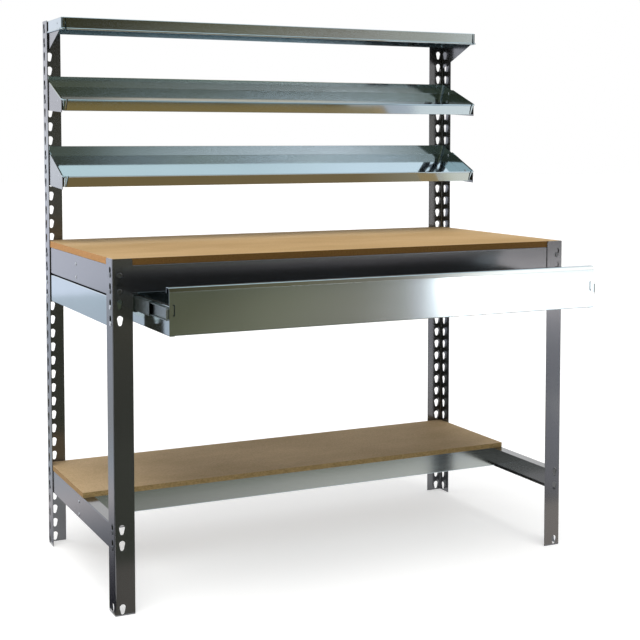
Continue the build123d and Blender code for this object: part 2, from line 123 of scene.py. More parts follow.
def blendColours(tree, share, first, second):
    node = tree.nodes.new("ShaderNodeMix")
    node.data_type = "RGBA"
    if isinstance(share, float):
        node.inputs[0].default_value = share
    else:
        tree.links.new(share, node.inputs[0])
    tree.links.new(first, node.inputs[6])    # sockets 6, 7 and 2 carry the colours
    tree.links.new(second, node.inputs[7])
    return node.outputs[2]


def addBump(tree, surface, height, strength, distance):
    bump = tree.nodes.new("ShaderNodeBump")
    setInputs(bump, {"Strength": strength, "Distance": distance})
    tree.links.new(height, bump.inputs["Height"])
    tree.links.new(bump.outputs["Normal"], surface.inputs["Normal"])


paintLook = {
    "light": (0.162, 0.166, 0.176),
    "dark": (0.155, 0.159, 0.168),
    "surface": {"Metallic": 0.9, "Roughness": 0.17, "Coat Weight": 0.35, "Coat Roughness": 0.09},
    "cloud": 3.0,
    "peel": (700.0, 2.0),      # orange peel of the sprayed coat: scale and detail
    "peelBump": (0.02, 0.0002),
}


def paintedSteel(look):
    material, tree, surface, place = startMaterial("paintedSteel")
    cloud = noise(tree, place, look["cloud"])
    tree.links.new(ramp(tree, cloud, ((0.3, look["dark"]), (0.7, look["light"]))), surface.inputs["Base Color"])
    setInputs(surface, look["surface"])
    addBump(tree, surface, noise(tree, place, *look["peel"]), *look["peelBump"])
    return material


galvanisedLook = {
    "light": (0.470, 0.545, 0.575),
    "dark": (0.445, 0.520, 0.550),
    "shiny": (0.085, 0.097),      # roughness of bright sheet, and of the duller shelf beam
    "dull": (0.150, 0.185),
    "grainAcross": (1.2, 60.0, 60.0),
    "grainDepthwise": (60.0, 1.2, 60.0),
    "streaks": (1.0, 6.0, 0.6),      # scale, detail and roughness of the noise
    "cloud": (5.0, 2.0),
    "cloudShare": 0.6,
    "bump": (0.05, 0.0020),
}


def galvanisedSteel(name, look, grain, roughness):
    material, tree, surface, place = startMaterial(name)
    streaks = noise(tree, stretched(tree, place, look[grain]), *look["streaks"])
    cloud = noise(tree, place, *look["cloud"])
    mixed = blendColours(tree, look["cloudShare"], streaks, cloud)
    tree.links.new(ramp(tree, mixed, ((0.35, look["dark"]), (0.65, look["light"]))), surface.inputs["Base Color"])
    setInputs(surface, {"Metallic": 1.0})
    tree.links.new(between(tree, streaks, *look[roughness], 0.3, 0.7), surface.inputs["Roughness"])
    addBump(tree, surface, cloud, *look["bump"])
    return material


boardFinish = {
    "chipGrain": (260.0, 330.0, 300.0),
    "chips": (1.0, 5.0, 0.62),
    "cloudGrain": (3.0, 6.0, 3.0),
    "cloud": (1.0, 3.0),
    "cloudShare": 0.45,
    "bump": (0.25, 0.0004),
    "surface": {"Roughness": 0.68, "Specular IOR Level": 0.12},
}
# edge: the dark colour of faces that face neither up nor left, painted shade; side: the paler colour of left-facing
# faces, painted light
boardLook = {
    "chips": ((0.30, (0.44, 0.285, 0.125)), (0.52, (0.585, 0.395, 0.195)), (0.72, (0.70, 0.495, 0.270))),
    "edge": ((0.30, (0.105, 0.052, 0.012)), (0.70, (0.20, 0.105, 0.028))),
    "side": ((0.30, (0.52, 0.245, 0.085)), (0.70, (0.68, 0.36, 0.13))),
}
# a brighter copy of the board's colours: painted light making up for the worktop's shade on the lower shelf; edge and
# side are painted shade and light as above
shelfBoardPaintedLightLook = {
    "chips": ((0.30, (0.44, 0.300, 0.150)), (0.52, (0.63, 0.450, 0.255)), (0.72, (0.82, 0.600, 0.355))),
    "edge": ((0.30, (0.25, 0.170, 0.065)), (0.70, (0.52, 0.365, 0.165))),
    "side": ((0.30, (0.30, 0.18, 0.07)), (0.70, (0.46, 0.29, 0.13))),
}


def particleBoard(name, look, setup):
    material, tree, surface, place = startMaterial(name)
    chips = noise(tree, stretched(tree, place, setup["chipGrain"]), *setup["chips"])
    cloud = noise(tree, stretched(tree, place, setup["cloudGrain"]), *setup["cloud"])
    mixed = blendColours(tree, setup["cloudShare"], chips, cloud)
    face = ramp(tree, mixed, look["chips"])
    edge = ramp(tree, chips, look["edge"])
    geometry = tree.nodes.new("ShaderNodeTexCoord")
    split = tree.nodes.new("ShaderNodeSeparateXYZ")
    tree.links.new(geometry.outputs["Normal"], split.inputs["Vector"])
    flat = between(tree, split.outputs["Z"], 0.0, 1.0, 0.3, 0.7)
    litLeftShare = between(tree, split.outputs["X"], 1.0, 0.0, -0.7, -0.3)
    cut = blendColours(tree, litLeftShare, edge, ramp(tree, chips, look["side"]))   # left faces get the paler side colour, painted light; the rest the dark edge colour, painted shade
    tree.links.new(blendColours(tree, flat, cut, face), surface.inputs["Base Color"])
    setInputs(surface, setup["surface"])
    addBump(tree, surface, chips, *setup["bump"])
    return material


zincLook = {"speckle": (150.0, 3.0), "darker": 0.8, "smoother": 0.05, "rougher": 0.08}


def plainZinc(name, colour, roughness, look=zincLook):
    material, tree, surface, place = startMaterial(name)
    speckle = noise(tree, place, *look["speckle"])
    darker = tuple(channel * look["darker"] for channel in colour)
    tree.links.new(ramp(tree, speckle, ((0.35, darker), (0.65, colour))), surface.inputs["Base Color"])
    setInputs(surface, {"Metallic": 1.0})
    spread = between(tree, speckle, roughness - look["smoother"], roughness + look["rougher"], 0.3, 0.7)
    tree.links.new(spread, surface.inputs["Roughness"])
    return material


paint = paintedSteel(paintLook)
galvanised = galvanisedSteel("galvanisedSheet", galvanisedLook, "grainAcross", "shiny")
galvanisedDepthwise = galvanisedSteel("galvanisedDepthwise", galvanisedLook, "grainDepthwise", "shiny")
galvanisedDull = galvanisedSteel("galvanisedDull", galvanisedLook, "grainAcross", "dull")
worktopWood = particleBoard("worktopParticleBoard", boardLook, boardFinish)
# the lower shelf's board takes the brighter copy, painted light
shelfWoodPaintedLight = particleBoard("shelfParticleBoardPaintedLight", shelfBoardPaintedLightLook, boardFinish)
slideZinc = plainZinc("slideZinc", (0.36, 0.41, 0.42), 0.34)
fastenerZinc = plainZinc("fastenerZinc", (0.72, 0.73, 0.75), 0.30)
studPaint = plainZinc("studPaint", (0.19, 0.195, 0.205), 0.28)
seamPaintedShade = plainZinc("seamPaintedShade", (0.050, 0.056, 0.062), 0.45)    # dark colour for the edges turned into the trays' corner seams: painted shade
cageSteel = plainZinc("cageSteel", (0.78, 0.78, 0.78), 0.18)
print("materials made")

slotFinishes = {
    "painted_steel": paint,
    "galvanised_sheet": galvanised,
    "slide_steel": slideZinc,
    "ball_cage_steel": cageSteel,
    "zinc_fastener": fastenerZinc,
    "particle_board": worktopWood,
}
nodeFinishes = {
    "lower_shelf_board": shelfWoodPaintedLight,
    "drawer_side_left": galvanisedDepthwise,
    "drawer_side_right": galvanisedDepthwise,
    "drawer_rail_left": galvanisedDepthwise,
    "drawer_rail_right": galvanisedDepthwise,
}
recordSlots = {part["node"]: part["material_slot"] for part in frame["record"]["subparts"]}
recordBodies = {node: body for body, nodes in frame["record"]["behaviour"]["bodies"].items() for node in nodes}
for nodeName, slotName in recordSlots.items():
    node, finish = frame["nodes"][nodeName], nodeFinishes.get(nodeName, slotFinishes[slotName])
    if not node.material_slots:
        node.data.materials.append(finish)
    for slot in node.material_slots:
        slot.material = finish
print("sheet, board and fastener finishes set")

meshSetup = {
    "sharpAngle": 33,      # degrees; steeper folds stay crisp
    "weld": 0.00001,       # vertices nearer than this are joined
    "cut": 0.000001,
    "same": 0.0001,        # places nearer than this count as the same
    "square": 0.9999,      # a face turned this squarely to an axis faces along it
    "flatWeight": 100,     # large flat faces keep their shading flat
    "bendSteps": 5,
    "pinSides": 18,
}
hands = {"left": -1, "right": 1}


def meshFrom(bm, name):
    mesh = bpy.data.meshes.new(name)
    bm.to_mesh(mesh)
    bm.free()
    return mesh


def finishPiece(name, bm, material, *nodes):
    mesh = meshFrom(bm, name)
    mesh.shade_smooth()
    mesh.set_sharp_from_angle(angle=math.radians(meshSetup["sharpAngle"]))
    mesh.materials.append(material)
    piece = addObject(name, mesh)
    evened = piece.modifiers.new("flatFacesStayFlat", "WEIGHTED_NORMAL")
    evened.keep_sharp = True
    evened.weight = meshSetup["flatWeight"]
    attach(piece, recordBodies[nodes[0]])
    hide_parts(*nodes)
    return piece


def newVerts(made):
    return [item for item in made["geom"] if isinstance(item, bmesh.types.BMVert)]


def moveBy(bm, verts, step):
    bmesh.ops.translate(bm, vec=step, verts=verts)


def same(first, second):
    return abs(first - second) < meshSetup["same"]


def weld(bm):
    bmesh.ops.remove_doubles(bm, verts=bm.verts[:], dist=meshSetup["weld"])


def everything(bm):
    return bm.verts[:] + bm.edges[:] + bm.faces[:]


def cutThrough(bm, place, facing, items=None, clear=False):
    bmesh.ops.bisect_plane(bm, geom=items or everything(bm), dist=meshSetup["cut"], plane_co=place, plane_no=facing,
                           clear_outer=clear)


def bend(bm, items, offset, steps, affect="EDGES"):
    bmesh.ops.bevel(bm, geom=items, offset=offset, offset_type="OFFSET", segments=steps, profile=0.5,
                    affect=affect, material=-1)


def faceOut(bm, outward):
    weld(bm)
    bmesh.ops.recalc_face_normals(bm, faces=bm.faces[:])
    widest = max(bm.faces, key=lambda face: face.calc_area() * abs(face.normal.dot(outward)))
    if widest.normal.dot(outward) < 0:
        bmesh.ops.reverse_faces(bm, faces=bm.faces[:])


def thicken(bm, outward, sheet):
    faceOut(bm, Vector(outward))
    bmesh.ops.solidify(bm, geom=bm.faces[:], thickness=sheet)


def addTab(bm, middle, size, side):    # middle given as for the left-hand side
    across, along, up = middle
    tab = bmesh.ops.create_cube(bm, size=1)["verts"]
    bmesh.ops.scale(bm, vec=size, verts=tab)
    moveBy(bm, tab, (-side * across, along, up))


# angle posts: one keyholed flange, its mirror image and the bend between them
postSetup = {
    "side": 0.635,
    "flange": 0.049,
    "sheet": 0.002,
    "bend": 0.0035,
    "holeInset": 0.018,
    "pitch": 0.038,
    "firstHole": 0.003,
    "holeSides": 20,
    "head": {"radius": 0.0073, "height": 0.0167},
    "slot": {"radius": 0.0046, "height": 0.0046},
    "margin": 0.007,       # sheet below each keyhole that belongs to its cell
    "topRounding": 0.006,
    "roundingCuts": (15, 38, 60, 78),    # degrees of the short straight cuts that round the top corner
}
postPlaces = {
    "front_leg": {"face": -0.2084, "inward": 1, "height": 0.844, "rows": (0, 4, 5, 18, 19, 20, 21)},
    "rear_upright": {"face": 0.4266, "inward": -1, "height": 1.440, "rows": range(38)},
}


def keyholeCell(setup):
    bm = bmesh.new()
    head, slot = setup["head"], setup["slot"]
    centre = Vector((setup["holeInset"], 0, head["height"]))
    hole = bmesh.ops.create_circle(bm, cap_ends=False, radius=head["radius"], segments=setup["holeSides"],
                                   matrix=Matrix.Translation(centre) @ Matrix.Rotation(math.pi / 2, 4, "X"))["verts"]
    lower = [vert for vert in hole if vert.co.z < head["height"] - meshSetup["same"]]
    narrowing = slot["radius"] / head["radius"]
    bmesh.ops.scale(bm, vec=(narrowing, 1, narrowing), verts=lower, space=Matrix.Translation(-centre))
    moveBy(bm, lower, (0, 0, slot["height"] - head["height"]))
    low, high = -setup["margin"], setup["pitch"] - setup["margin"]
    rim = [bm.verts.new((x, 0, z)) for x, z in ((setup["bend"], low), (setup["flange"], low),
                                                (setup["flange"], high), (setup["bend"], high))]
    for first, second in zip(rim, rim[1:] + rim[:1]):
        bm.edges.new((first, second))
    bmesh.ops.triangle_fill(bm, use_beauty=True, use_dissolve=False, edges=bm.edges[:])
    return bm


def addPost(name, side, place, setup):
    bm = keyholeCell(setup)
    first, cell = bm.verts[:], everything(bm)
    low, high = -setup["margin"], setup["pitch"] - setup["margin"]
    bases = [setup["firstHole"] + row * setup["pitch"] for row in place["rows"]]
    for base in bases[1:]:
        copied = newVerts(bmesh.ops.duplicate(bm, geom=cell))
        moveBy(bm, copied, (0, 0, base))
    moveBy(bm, first, (0, 0, bases[0]))
    for base, above in zip(bases, bases[1:]):    # plain sheet between rows that are not neighbours
        start, end = base + high, above + low
        if not same(start, end):
            across = [edge for edge in bm.edges if all(same(vert.co.z, start) for vert in edge.verts)]
            raised = newVerts(bmesh.ops.extrude_edge_only(bm, edges=across))
            moveBy(bm, raised, (0, 0, end - start))
    foot = [vert for vert in bm.verts if same(vert.co.z, bases[0] + low)]
    moveBy(bm, foot, (0, 0, -bases[0] - low))
    top = [vert for vert in bm.verts if same(vert.co.z, bases[-1] + high)]
    moveBy(bm, top, (0, 0, place["height"] - bases[-1] - high))
    weld(bm)
    rounding = setup["topRounding"]
    middle = Vector((setup["flange"] - rounding, 0, place["height"] - rounding))
    for angle in setup["roundingCuts"]:
        facing = Vector((math.cos(math.radians(angle)), 0, math.sin(math.radians(angle))))
        cutThrough(bm, middle + rounding * facing, facing, clear=True)
    copied = newVerts(bmesh.ops.duplicate(bm, geom=everything(bm)))
    swap = Matrix(((0, 1, 0, 0), (1, 0, 0, 0), (0, 0, 1, 0), (0, 0, 0, 1)))
    bmesh.ops.transform(bm, matrix=swap, verts=copied)
    fold = [edge for edge in bm.edges if all(same(vert.co.y, 0) and same(vert.co.x, setup["bend"])
                                             for vert in edge.verts)]
    bmesh.ops.spin(bm, geom=fold, cent=(setup["bend"], setup["bend"], 0), axis=(0, 0, 1), dvec=(0, 0, 0),
                   angle=-math.pi / 2, steps=meshSetup["bendSteps"], use_merge=False)
    bmesh.ops.transform(bm, matrix=Matrix.Diagonal((-side, place["inward"], 1, 1)), verts=bm.verts[:])
    moveBy(bm, bm.verts[:], (side * setup["side"], place["face"], 0))
    thicken(bm, (0, -place["inward"], 0), setup["sheet"])
    finishPiece(name + "Keyholed", bm, paint, name)


for postName, place in postPlaces.items():
    for hand, side in hands.items():
        addPost(postName + "_" + hand, side, place, postSetup)
print("keyholed posts folded")


# studs and rivets turned from one profile each: radius and distance along the pin from the face it lies on
studHead = ((0, 0.0015), (0.0022, 0.0015), (0.0028, 0.0018), (0.0044, 0.00175), (0.0057, 0.0012), (0.0063, 0.0003),
            (0.0063, 0), (0.0040, 0))
rivetHead = ((0, 0.0016), (0.0018, 0.00155), (0.0034, 0.0012), (0.0043, 0.0005), (0.0045, 0), (0.0025, 0))
pinProfiles = {
    "stud": studHead + ((0.0040, -0.0023), (0, -0.0023)),
    "longStud": studHead + ((0.0040, -0.0038), (0, -0.0038)),
    "crossRivet": rivetHead + ((0.0025, -0.0033), (0.0035, -0.0033), (0.0032, -0.0044), (0.0018, -0.0049),
                               (0, -0.0049)),
    "trayRivet": rivetHead + ((0.0025, -0.0030), (0, -0.0030)),
}


def turnedPin(profile):
    bm = bmesh.new()
    line = [bm.verts.new((radius, 0, along)) for radius, along in profile]
    edges = [bm.edges.new(pair) for pair in zip(line, line[1:])]
    bmesh.ops.spin(bm, geom=line + edges, cent=(0, 0, 0), axis=(0, 0, 1), dvec=(0, 0, 0), angle=2 * math.pi,
                   steps=meshSetup["pinSides"], use_merge=True)
    weld(bm)
    bmesh.ops.recalc_face_normals(bm, faces=bm.faces[:])
    return meshFrom(bm, "pin")


def addPins(name, profile, places, material, node):
    pin = turnedPin(profile)
    bm = bmesh.new()
    for place, direction in places:
        before = len(bm.verts)
        bm.from_mesh(pin)
        bm.verts.ensure_lookup_table()
        turn = Vector(direction).to_track_quat("Z", "Y").to_matrix().to_4x4()
        bmesh.ops.transform(bm, matrix=Matrix.Translation(place) @ turn, verts=bm.verts[before:])
    bpy.data.meshes.remove(pin)
    finishPiece(name, bm, material, node)


studRows = {
    "firstStud": 0.0075,
    "worktop": (20, 21),
    "shelf": (4, 5),
    "drawerRail": (18, 19),
    "brackets": (27, 28, 32, 33, 36, 37),
}
frontFace, rearFace = postPlaces["front_leg"]["face"], postPlaces["rear_upright"]["face"]
frontColumn, rearColumn = frontFace + postSetup["holeInset"], rearFace - postSetup["holeInset"]


def studHeight(row):
    return studRows["firstStud"] + row * postSetup["pitch"]


def sideStuds(rows, columns):
    return [((side * postSetup["side"], column, studHeight(row)), (side, 0, 0))
            for side in (-1, 1) for column in columns for row in rows]


def crossStuds(rows, face, facing):
    column = postSetup["side"] - postSetup["holeInset"]
    return [((side * column, face, studHeight(row)), (0, facing, 0)) for side in (-1, 1) for row in rows]


frameStudPlaces = sideStuds(studRows["worktop"] + studRows["shelf"], (frontColumn, rearColumn))
frameStudPlaces += crossStuds(studRows["worktop"], frontFace, -1)
frameStudPlaces += crossStuds(studRows["worktop"] + studRows["shelf"], rearFace, 1)
drawerRailStudPlaces = sideStuds(studRows["drawerRail"], (frontColumn, rearColumn))
bracketStudPlaces = sideStuds(studRows["brackets"], (rearColumn,))
addPins("frameStudsTurned", pinProfiles["stud"], frameStudPlaces, studPaint, "frame_studs")
addPins("drawerRailStudsTurned", pinProfiles["stud"], drawerRailStudPlaces, fastenerZinc, "drawer_rail_studs")
addPins("bracketStudsTurned", pinProfiles["longStud"], bracketStudPlaces, studPaint, "bracket_studs")

# distance back and heights of the rivets at each end of a cross member
crossRivetSetup = {"face": 0.6327, "members": ((0.1166, (0.7714, 0.8044)), (0.1106, (0.1608, 0.1938)))}
places = [((side * crossRivetSetup["face"], back, up), (side, 0, 0)) for side in (-1, 1)
          for back, heights in crossRivetSetup["members"] for up in heights]
addPins("crossMemberRivetsTurned", pinProfiles["crossRivet"], places, fastenerZinc, "cross_member_rivets")
print("studs and rivets turned")


# trays folded from flat sheet: end lips wrap round the front corners to a slanted open seam, rims are rolled outwards
traySetup = {
    "rear": 0.4243,
    "depth": 0.192,
    "lip": 0.03025,
    "fold": 0.0016,
    "foldSteps": 4,
    "corner": 0.0085,
    "seam": ((0.0098, 0.0118), (0.0088, 0.0136)),    # sides of the seam from the tray's end, at the fold and at the rim
    "seamReach": (0.007, 0.020),      # both sides of the seam lie between these distances from the end
    "seamDepth": 0.007,
    "sheet": 0.0012,
    "rearLean": 0.0010,
    "roll": {"radius": 0.00105, "stop": -0.056, "steps": 7, "turn": 270},    # curl of the rim; none beside the uprights
    "rivets": (-0.150, -0.040),    # distance behind the rear crease
    "rivetFace": 0.6297,
    "rivetHeight": 0.014,
}
trayPlaces = {    # half length, height of the rear crease, turn about an axis; the top tray lies upside down
    "top_tray": {"half": 0.6327, "height": 1.438, "turn": 180, "axis": "Y"},
    "middle_tray": {"half": 0.6309, "height": 1.26354, "turn": 21, "axis": "X"},
    "lower_tray": {"half": 0.6309, "height": 1.07389, "turn": 24.5, "axis": "X"},
}


def rollRim(bm, half, setup):
    roll, corner = setup["roll"], setup["corner"]
    rim = [edge for edge in bm.edges if all(
        vert.co.z > setup["lip"] - meshSetup["same"] and vert.co.y < roll["stop"] + meshSetup["same"]
        for vert in edge.verts)]
    turned = math.radians(roll["turn"]) / roll["steps"]
    for step in range(roll["steps"]):
        made = bmesh.ops.extrude_edge_only(bm, edges=rim)
        before, after = step * turned, (step + 1) * turned
        out = roll["radius"] * (math.cos(before) - math.cos(after))
        up = roll["radius"] * (math.sin(after) - math.sin(before))
        for vert in newVerts(made):
            inner = Vector((max(corner - half, min(half - corner, vert.co.x)),
                            max(corner - setup["depth"], vert.co.y), vert.co.z))
            vert.co += (vert.co - inner).normalized() * out + Vector((0, 0, up))
        rim = [item for item in made["geom"] if isinstance(item, bmesh.types.BMEdge)]


def onFrontLip(face, setup):
    return abs(face.normal.y) > meshSetup["square"] and face.calc_center_median().y < -setup["depth"] / 2


def stands(edge, setup):
    return abs(edge.verts[0].co.z - edge.verts[1].co.z) > setup["lip"] / 2


def openSeams(bm, half, setup):
    (nearFold, farFold), (nearRim, farRim) = setup["seam"]
    lip = setup["lip"]
    for side in (-1, 1):
        for atFold, atRim in ((nearFold, nearRim), (farFold, farRim)):
            lips = [face for face in bm.faces if onFrontLip(face, setup)]
            around = {item for face in lips for item in (face, *face.edges, *face.verts)}
            cutThrough(bm, (side * (half - atFold), 0, 0), (side * lip, 0, atRim - atFold), list(around))
    seams = []
    for face in bm.faces:
        spot = face.calc_center_median()
        share, inset = spot.z / lip, half - abs(spot.x)
        inSeam = nearFold + share * (nearRim - nearFold) < inset < farFold + share * (farRim - farFold)
        if onFrontLip(face, setup) and inSeam:
            seams.append(face)
    bmesh.ops.delete(bm, geom=seams, context="FACES")


def turnSeamsIn(bm, half, setup):
    nearest, farthest = setup["seamReach"]
    sides = [edge for edge in bm.edges if edge.is_boundary and stands(edge, setup) and all(
        same(vert.co.y, -setup["depth"]) and nearest < half - abs(vert.co.x) < farthest for vert in edge.verts)]
    turned = bmesh.ops.extrude_edge_only(bm, edges=sides)
    for face in (item for item in turned["geom"] if isinstance(item, bmesh.types.BMFace)):
        # the turned-in seam faces take the dark seam colour, painted shade
        face.material_index = 1
    moveBy(bm, newVerts(turned), (0, setup["seamDepth"], 0))


def addTray(name, half, place, setup):
    bm = bmesh.new()
    depth, lip = setup["depth"], setup["lip"]
    floor = ((-half, -depth, 0), (half, -depth, 0), (half, 0, 0), (-half, 0, 0))
    bm.faces.new([bm.verts.new(corner) for corner in floor])
    raised = newVerts(bmesh.ops.extrude_edge_only(bm, edges=bm.edges[:]))
    moveBy(bm, raised, (0, 0, lip))
    moveBy(bm, [vert for vert in raised if same(vert.co.y, 0)], (0, setup["rearLean"], 0))
    bend(bm, [edge for edge in bm.edges if stands(edge, setup)], setup["corner"], meshSetup["bendSteps"])
    crease = [edge for edge in bm.edges if len(edge.link_faces) == 2 and all(same(vert.co.z, 0) for vert in edge.verts)]
    bend(bm, crease, setup["fold"], setup["foldSteps"])
    cutThrough(bm, (0, setup["roll"]["stop"], 0), (0, 1, 0))
    openSeams(bm, half, setup)
    rollRim(bm, half, setup)
    turnSeamsIn(bm, half, setup)
    thicken(bm, (0, 0, -1), setup["sheet"])
    bmesh.ops.transform(bm, matrix=place, verts=bm.verts[:])
    piece = finishPiece(name + "Folded", bm, galvanised, name)
    piece.data.materials.append(seamPaintedShade)


places = []
for trayName, tray in trayPlaces.items():
    turn = Matrix.Rotation(math.radians(tray["turn"]), 4, tray["axis"])
    place = Matrix.Translation((0, traySetup["rear"], tray["height"])) @ turn
    addTray(trayName, tray["half"], place, traySetup)
    for side in (-1, 1):
        for back in traySetup["rivets"]:
            spot = place @ Vector((side * traySetup["rivetFace"], back, traySetup["rivetHeight"]))
            places.append((spot, (-1 if spot.x > 0 else 1, 0, 0)))
addPins("trayRivetsTurned", pinProfiles["trayRivet"], places, fastenerZinc, "tray_rivets")
print("trays folded")


# folded sheets: a line of corners in the section, bent at each inner one and drawn out along one axis
def inSection(along, first, second, at):
    return {"X": (at, first, second), "Y": (first, at, second)}[along]


def drawnSheet(setup, side=-1):    # given as for the left-hand side, mirrored for the right
    bm = bmesh.new()
    along, (start, end) = setup["along"], setup["span"]
    line = [bm.verts.new(inSection(along, first, second, start)) for first, second in setup["corners"]]
    for pair in zip(line, line[1:]):
        bm.edges.new(pair)
    for corner, offset in zip(line[1:-1], setup["bends"]):
        bend(bm, [corner], offset, meshSetup["bendSteps"], "VERTICES")
    drawn = newVerts(bmesh.ops.extrude_edge_only(bm, edges=bm.edges[:]))
    moveBy(bm, drawn, inSection(along, 0, 0, end - start))
    for place, facing in setup.get("cuts", ()):
        cutThrough(bm, place, facing)
    if "drop" in setup:
        dropped = [face for face in bm.faces if setup["drop"](face.calc_center_median())]
        bmesh.ops.delete(bm, geom=dropped, context="FACES")
    outward = Vector(setup["outward"])
    if side > 0:
        bmesh.ops.transform(bm, matrix=Matrix.Diagonal((-1, 1, 1, 1)), verts=bm.verts[:])
        outward.x = -outward.x
    thicken(bm, outward, setup["sheet"])
    return bm


railSheet = {"sheet": 0.0015, "bends": (0.0022, 0.0022)}
railSetup = {"flange": 0.030, "lip": 0.009}      # load flange at the top, foot lip at the bottom
endRailSetup = {
    "face": -0.6327,
    "span": (-0.2061, 0.4243),
    "notch": 0.0018,      # flange and lip end this far short of the web
    "heights": {"worktop_end_rail": (0.757, 0.828), "shelf_end_rail": (0.150, 0.212)},
}


def flangedSection(face, inward, bottom, top):
    return ((face + inward * railSetup["flange"], top), (face, top), (face, bottom),
            (face + inward * railSetup["lip"], bottom))


for railName, (bottom, top) in endRailSetup["heights"].items():
    face, notch, (start, end) = endRailSetup["face"], endRailSetup["notch"], endRailSetup["span"]
    rail = {
        **railSheet,
        "along": "Y",
        "span": (start, end),
        "corners": flangedSection(face, 1, bottom, top),
        "outward": (-1, 0, 0),
        "cuts": (((0, start + notch, 0), (0, 1, 0)), ((0, end - notch, 0), (0, 1, 0))),
        "drop": lambda spot: spot.x > face + railSheet["sheet"] and not start + notch < spot.y < end - notch,
    }
    for hand, side in hands.items():
        finishPiece(railName + hand.capitalize() + "Folded", drawnSheet(rail, side), paint, railName + "_" + hand)

beamReach = {"web": 0.6309, "flange": 0.6024}      # from the middle; flange and lip stop beside the posts
beamSetup = {
    "worktop_front_beam": {"face": -0.2061, "inward": 1, "bottom": 0.762, "top": 0.828},
    "worktop_rear_beam": {"face": 0.4243, "inward": -1, "bottom": 0.762, "top": 0.828},
    "shelf_rear_beam": {"face": 0.4243, "inward": -1, "bottom": 0.150, "top": 0.212},
}
for beamName, beam in beamSetup.items():
    face, web, flange = beam["face"], beamReach["web"], beamReach["flange"]
    folded = {
        **railSheet,
        "along": "X",
        "span": (-web, web),
        "corners": flangedSection(**beam),
        "outward": (0, -beam["inward"], 0),
        "cuts": (((-flange, 0, 0), (1, 0, 0)), ((flange, 0, 0), (1, 0, 0))),
        "drop": lambda spot: abs(spot.y - face) > railSheet["sheet"] and abs(spot.x) > flange,
    }
    finishPiece(beamName + "Folded", drawnSheet(folded), paint, beamName)

crossMemberSetup = {
    "worktop_stiffener": {"web": 0.1036, "flange": 0.026, "bottom": 0.7622, "top": 0.8262, "material": paint},
    "shelf_front_beam": {"web": 0.0966, "flange": 0.028, "bottom": 0.1522, "top": 0.2102, "material": galvanisedDull},
}
plateMargin = 0.0016      # the riveted end plates keep this far from the channel's outer faces
for memberName, member in crossMemberSetup.items():
    web, flange, bottom, top = member["web"], member["flange"], member["bottom"], member["top"]
    half, sheet = beamReach["web"], railSheet["sheet"]
    channel = {
        **railSheet,
        "along": "X",
        "span": (-half, half),
        "corners": ((web + flange, top), (web, top), (web, bottom), (web + flange, bottom)),
        "outward": (0, -1, 0),
    }
    bm = drawnSheet(channel)
    middle = (sheet / 2 - half, web + (flange + plateMargin) / 2, (bottom + top) / 2)
    for side in (-1, 1):
        addTab(bm, middle, (sheet, flange - 2 * plateMargin, top - bottom - 2 * plateMargin), side)
    finishPiece(memberName + "Folded", bm, member["material"], memberName)

drawerRail = {
    **railSheet,
    "along": "Y",
    "span": (-0.2043, 0.4225),
    "corners": ((-0.5847, 0.7120), (-0.5847, 0.7537), (-0.6327, 0.7537), (-0.6327, 0.6830)),
    "outward": (0, 0, 1),
}
endTab = {"middle": (-0.6087, -0.2036, 0.7318), "size": (0.0440, 0.0012, 0.0400)}    # behind the leg's keyholes
for hand, side in hands.items():
    bm = drawnSheet(drawerRail, side)
    addTab(bm, endTab["middle"], endTab["size"], side)
    finishPiece("drawerRail" + hand.capitalize() + "Folded", bm, galvanisedDepthwise, "drawer_rail_" + hand)
print("rails and beams folded")


drawerSetup = {
    "sheet": 0.0012,
    "face": -0.4284,
    "halfWidth": 0.573,
    "bottom": 0.690,
    "top": 0.797,
    "crown": 0.010,
    "lean": 0.002,
    "returnDepth": 0.020,
    "returnDrop": 0.013,
    "footReturn": 0.014,
    "footNotch": 0.014,      # the foot's return ends this far from the front's ends
    "sideFace": -0.572,
    "sideSpan": (-0.4269, 0.0681),
    "sideBottom": 0.689,
    "sideTop": 0.757,
    "sideHem": (0.008, 0.0025),
    "sideFoot": 0.012,
    "backHalf": 0.5705,
    "backHeights": (0.6905, 0.7555),
    "frontBends": (0.002, 0.0016, 0.0003, 0.002),
    "sideBends": (0.001, 0.0018, 0.0018),
    "backBends": (0.0018,),
    "pull": {"inner": 0.5598, "outer": 0.565, "bottom": 0.7337, "top": 0.7597, "line": 0.0026},
}
sideTab = {"middle": (-0.5683, -0.4263, 0.723), "size": (0.0046, 0.0012, 0.0652)}    # behind the drawer's front


def inPull(spot):
    pull = drawerSetup["pull"]
    across = abs(spot.x)
    onFace = spot.y < drawerSetup["face"] + drawerSetup["sheet"] / 2
    if not (onFace and pull["inner"] < across < pull["outer"] and pull["bottom"] < spot.z < pull["top"]):
        return False
    upright = across < pull["inner"] + pull["line"]
    return upright or spot.z > pull["top"] - pull["line"] or spot.z < pull["bottom"] + pull["line"]


def droppedFromFront(spot):
    setup = drawerSetup
    foot = spot.z < setup["bottom"] + setup["sheet"] / 2 and spot.y > setup["face"] + setup["sheet"]
    return foot and abs(spot.x) > setup["halfWidth"] - setup["footNotch"] or inPull(spot)


def drawerFrontSheet(setup):
    pull, face, top, bottom = setup["pull"], setup["face"], setup["top"], setup["bottom"]
    across = (pull["inner"], pull["inner"] + pull["line"], pull["outer"], setup["halfWidth"] - setup["footNotch"])
    heights = (pull["bottom"], pull["bottom"] + pull["line"], pull["top"] - pull["line"], pull["top"])
    return drawnSheet({
        "along": "X",
        "span": (-setup["halfWidth"], setup["halfWidth"]),
        "corners": ((face + setup["returnDepth"], top - setup["returnDrop"]), (face + setup["returnDepth"], top),
                    (face + setup["lean"], top), (face, top - setup["crown"]), (face, bottom),
                    (face + setup["footReturn"], bottom)),
        "bends": setup["frontBends"],
        "sheet": setup["sheet"],
        "outward": (0, -1, 0),
        "cuts": [((side * at, 0, 0), (1, 0, 0)) for side in (-1, 1) for at in across]
        + [((0, 0, at), (0, 0, 1)) for at in heights],
        "drop": droppedFromFront,
    })


